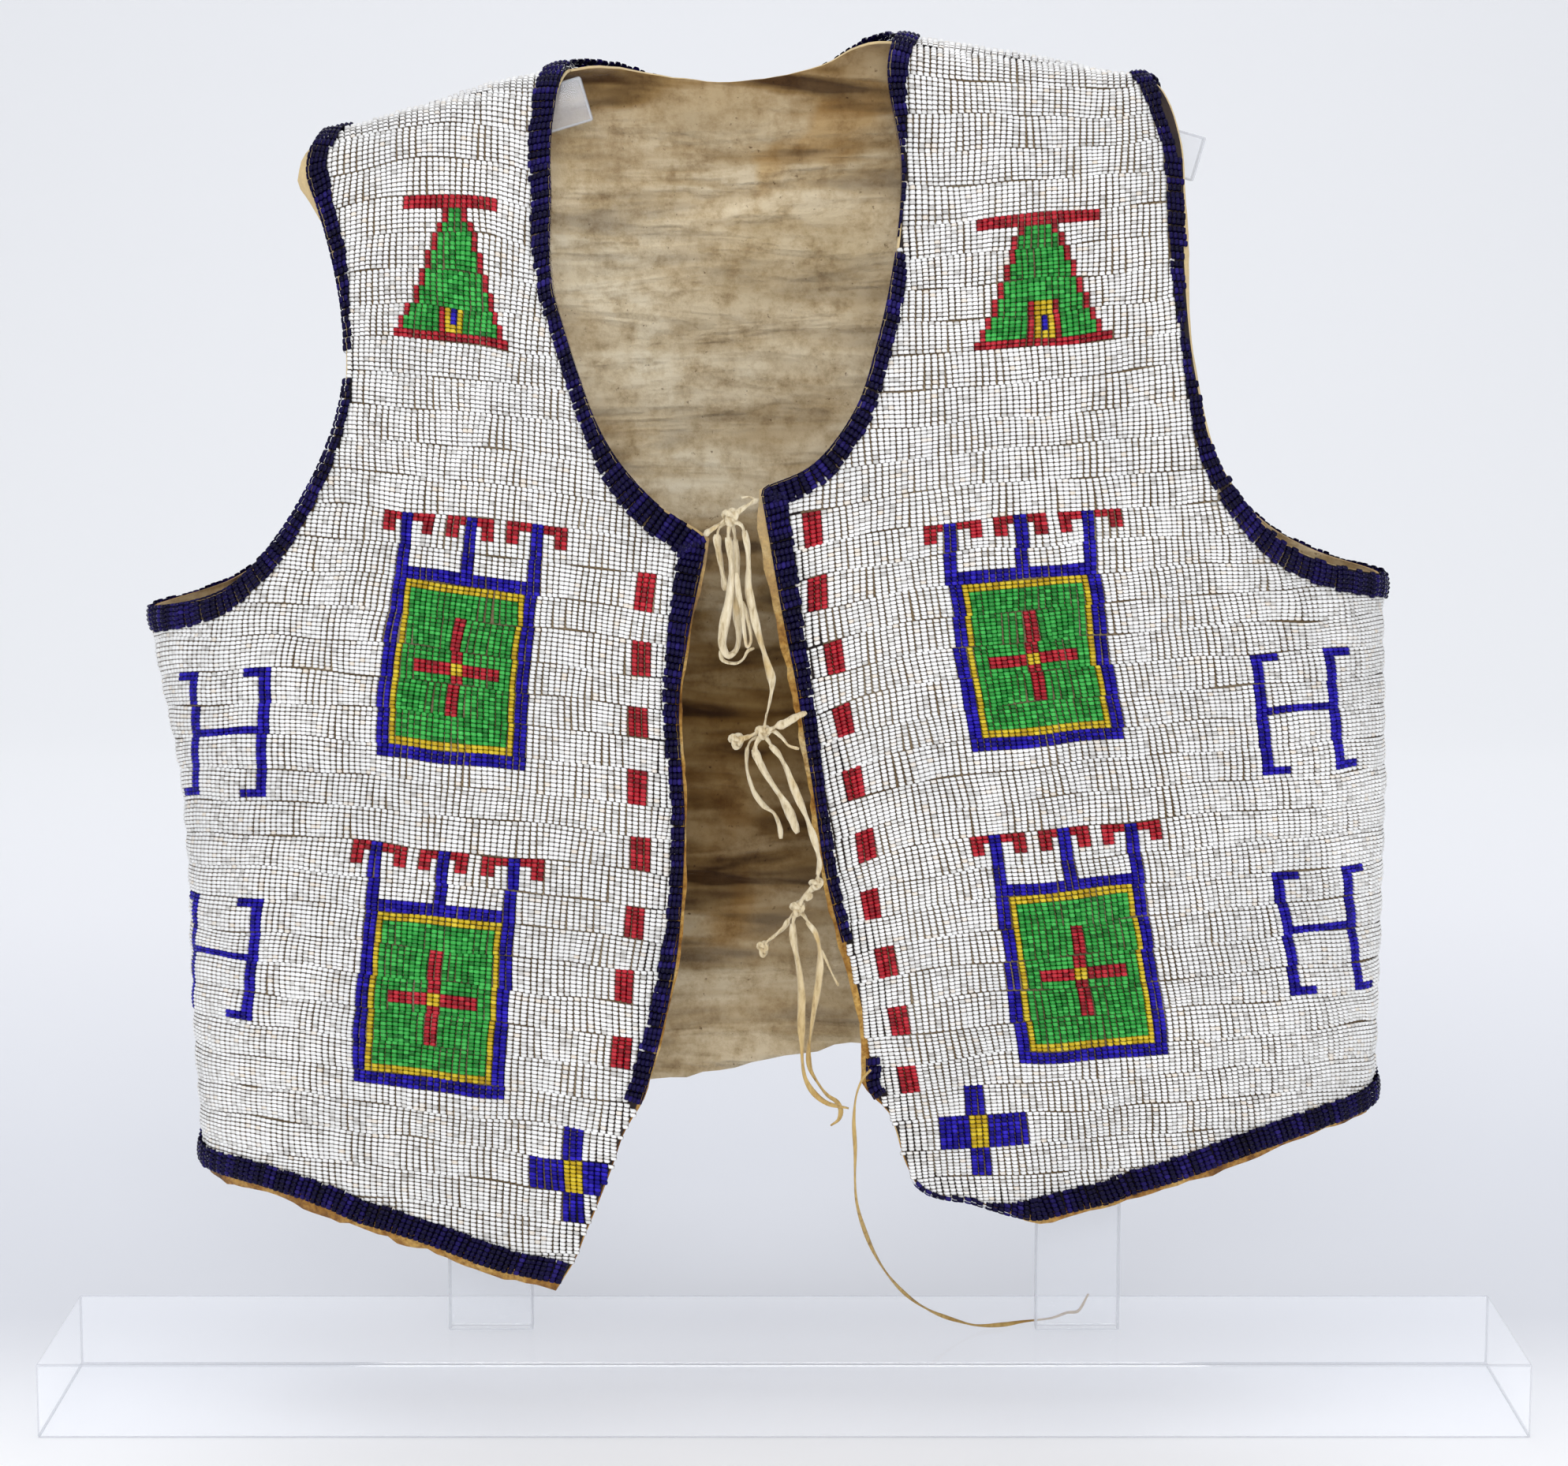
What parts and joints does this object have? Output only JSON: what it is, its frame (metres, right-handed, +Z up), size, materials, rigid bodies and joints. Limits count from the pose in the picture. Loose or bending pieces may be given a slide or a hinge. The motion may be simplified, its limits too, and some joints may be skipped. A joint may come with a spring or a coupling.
{
  "type": "beaded vest on an acrylic display stand",
  "caption": "Open-front sleeveless hide vest covered in lanes of glass beads with geometric motifs, navy edging and hide ties, resting on a clear stand",
  "frame": {"origin": "middle of the underside of the stand's base", "axes": "+Z up, +X to the wearer's left (right as seen from the front), -Y out of the vest's open front"},
  "size_m": [0.5, 0.1279, 0.4658],
  "materials": {
    "beads_white": "opaque white glass seed beads sewn in lanes",
    "beads_green": "opaque green glass seed beads",
    "beads_red": "rose red glass seed beads",
    "beads_yellow": "opaque yellow glass seed beads",
    "beads_blue": "royal blue glass seed beads",
    "beads_navy": "glossy dark navy glass seed beads",
    "hide": "smoke-tanned hide, napped flesh side, creased and stained",
    "thong": "cut hide thong",
    "acrylic": "clear cast acrylic, polished"
  },
  "bodies": {
    "root": {"stand_base": "acrylic", "stand_post_right": "acrylic", "stand_post_left": "acrylic", "front_right": "beads_white", "front_left": "beads_white", "back": "beads_white", "edging_armhole_right_upper": "beads_navy", "edging_armhole_right_lower": "beads_navy", "edging_opening_right": "beads_navy", "edging_hem_right": "beads_navy", "edging_neck_left": "beads_navy", "edging_opening_left": "beads_navy", "edging_opening_left_low": "beads_navy", "edging_armhole_left": "beads_navy", "edging_hem_left": "beads_navy", "edging_armhole_back_right": "beads_navy", "edging_armhole_back_left": "beads_navy", "edging_hem_back": "beads_navy", "edging_neck_back": "beads_navy", "tie_top_loop": "thong", "tie_top_tail": "thong", "tie_top_long": "thong", "tie_middle_leaf": "thong", "tie_middle_loop": "thong", "tie_middle_strand": "thong", "tie_middle_long": "thong", "tie_low_link": "thong", "tie_low_long": "thong", "tie_low_strand": "thong", "tie_low_tail": "thong", "thong_loose": "thong", "tie_top_knot": "thong", "tie_middle_knot": "thong", "tie_middle_bead": "thong", "tie_low_end": "thong", "tie_low_knot": "thong", "tie_low_bead": "thong"}
  },
  "joints": []
}
